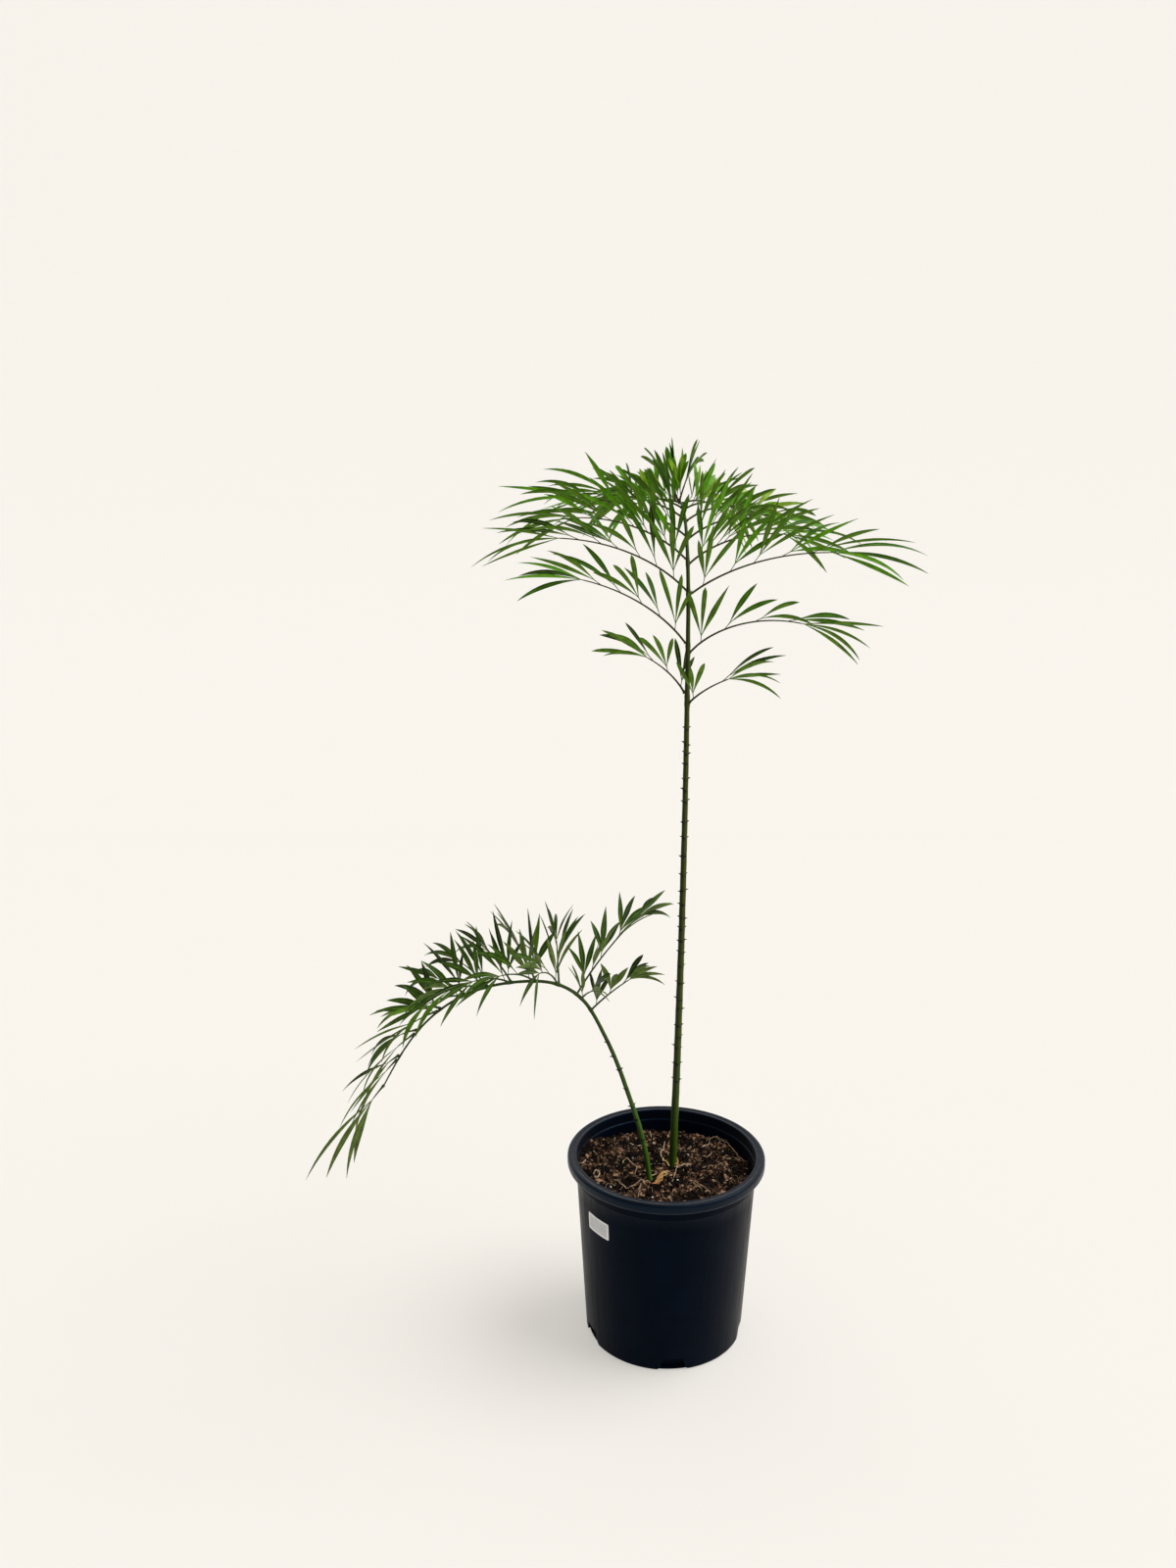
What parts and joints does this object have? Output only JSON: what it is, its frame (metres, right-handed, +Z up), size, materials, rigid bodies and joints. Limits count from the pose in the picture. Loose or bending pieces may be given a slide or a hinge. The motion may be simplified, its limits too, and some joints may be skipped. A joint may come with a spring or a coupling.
{
  "type": "potted cycad",
  "caption": "Young cycad in a round black nursery pot: one tall upright frond that nods at its top and one that arches over to the side, with narrow pointed leaflets.",
  "frame": {"origin": "centre of the pot's flat underside, on the floor", "axes": "+Z up, the plant is seen from -Y, +X is to the right seen from there, and the arching frond reaches towards -X"},
  "size_m": [0.7396, 0.4262, 1.1245],
  "materials": {
    "pot_plastic": "satin black polypropylene",
    "potting_mix": "rough dark brown bark and peat",
    "stalks": "smooth olive green stalk",
    "leaflets": "satin green leaf"
  },
  "bodies": {
    "root": {"arching_pinna_end": "leaflets", "arching_pinna_far_1": "leaflets", "arching_pinna_far_2": "leaflets", "arching_pinna_far_3": "leaflets", "arching_pinna_far_4": "leaflets", "arching_pinna_far_5": "leaflets", "arching_pinna_far_6": "leaflets", "arching_pinna_far_7": "leaflets", "arching_pinna_far_8": "leaflets", "arching_pinna_high": "leaflets", "arching_pinna_low": "leaflets", "arching_pinna_near_1": "leaflets", "arching_pinna_near_2": "leaflets", "arching_pinna_near_3": "leaflets", "arching_pinna_near_4": "leaflets", "arching_pinna_near_5": "leaflets", "arching_pinna_near_6": "leaflets", "arching_pinna_near_7": "leaflets", "arching_pinna_near_8": "leaflets", "arching_pinna_short": "leaflets", "arching_rachis_end": "stalks", "arching_rachis_top": "stalks", "arching_stalk": "stalks", "pot": "pot_plastic", "potting_mix": "potting_mix", "tall_pinna_end": "leaflets", "tall_pinna_left_1": "leaflets", "tall_pinna_left_2": "leaflets", "tall_pinna_left_3": "leaflets", "tall_pinna_left_4": "leaflets", "tall_pinna_left_5": "leaflets", "tall_pinna_left_6": "leaflets", "tall_pinna_left_7": "leaflets", "tall_pinna_left_8": "leaflets", "tall_pinna_left_9": "leaflets", "tall_pinna_right_1": "leaflets", "tall_pinna_right_2": "leaflets", "tall_pinna_right_3": "leaflets", "tall_pinna_right_4": "leaflets", "tall_pinna_right_5": "leaflets", "tall_pinna_right_6": "leaflets", "tall_pinna_right_7": "leaflets", "tall_pinna_right_8": "leaflets", "tall_pinna_right_9": "leaflets", "tall_rachis_end": "stalks", "tall_stalk": "stalks"}
  },
  "joints": []
}
